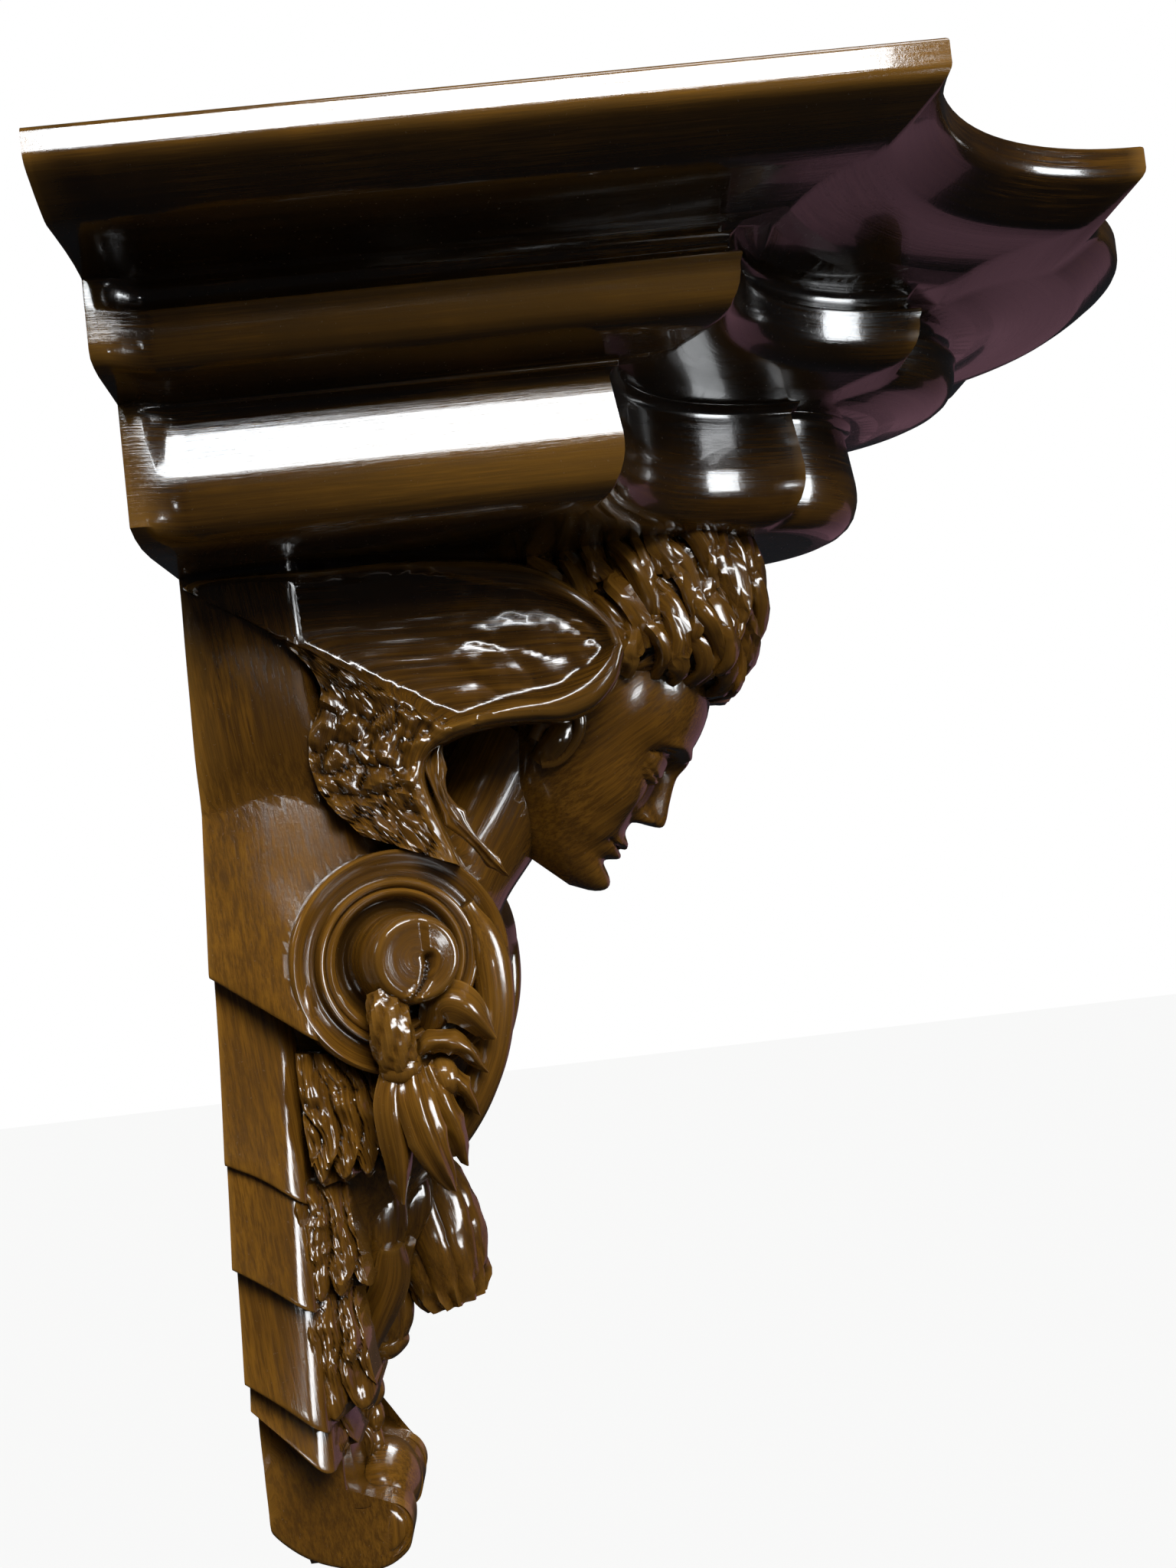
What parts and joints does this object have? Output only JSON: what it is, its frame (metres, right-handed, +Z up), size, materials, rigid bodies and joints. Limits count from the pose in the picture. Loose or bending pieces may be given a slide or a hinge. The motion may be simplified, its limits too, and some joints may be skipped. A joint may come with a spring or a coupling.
{
  "type": "angel figure corbel",
  "caption": "Wall corbel with a stepped, scrolled display shelf carried on a bowed winged head, side volutes, leaves and a fruit drop.",
  "frame": {"origin": "on the flat wall face, on the centre line, 60 mm below the top of the shelf, where the hanger takes the load", "axes": "+X to the viewer's right, +Y into the wall, so the front is towards -Y, +Z up"},
  "size_m": [0.362, 0.315, 0.402],
  "materials": {
    "corbel_finish": "cast resin, dark walnut stain rubbed back to streaky gold brown on the high parts, under a glossy varnish"
  },
  "bodies": {
    "root": {"angel_corbel": "corbel_finish"}
  },
  "joints": []
}
